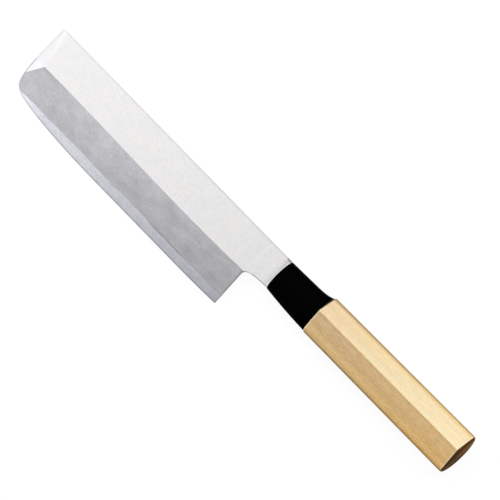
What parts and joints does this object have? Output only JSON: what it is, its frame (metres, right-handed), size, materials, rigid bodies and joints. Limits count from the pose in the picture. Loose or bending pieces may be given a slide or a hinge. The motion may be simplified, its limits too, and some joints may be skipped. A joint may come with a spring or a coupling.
{
  "type": "usuba knife",
  "caption": "Square-tipped vegetable knife with a laminated single-bevel blade, hollow-ground back, black ferrule and pale D-section wooden handle.",
  "frame": {"origin": "middle of the footprint, at the height of the handle's lowest point, with the knife lying on its back", "axes": "+X from the butt to the tip along the spine, +Y from the spine to the cutting edge, +Z out of the bevelled face"},
  "size_m": [0.3158, 0.0498, 0.0217],
  "materials": {
    "blade_iron": "soft iron, cross-ground and polished on the flat, stone-misted on the bevel",
    "blade_hard_steel": "hard carbon steel, whetstone-polished",
    "ferrule": "black, turned and satin-polished",
    "grip": "pale magnolia wood, sanded, unvarnished, with dark end grain",
    "tang_resin": "set pine resin, translucent brown"
  },
  "bodies": {
    "root": {"blade_iron": "blade_iron", "blade_hard_steel": "blade_hard_steel", "ferrule": "ferrule", "grip": "grip", "tang_resin": "tang_resin"}
  },
  "joints": []
}
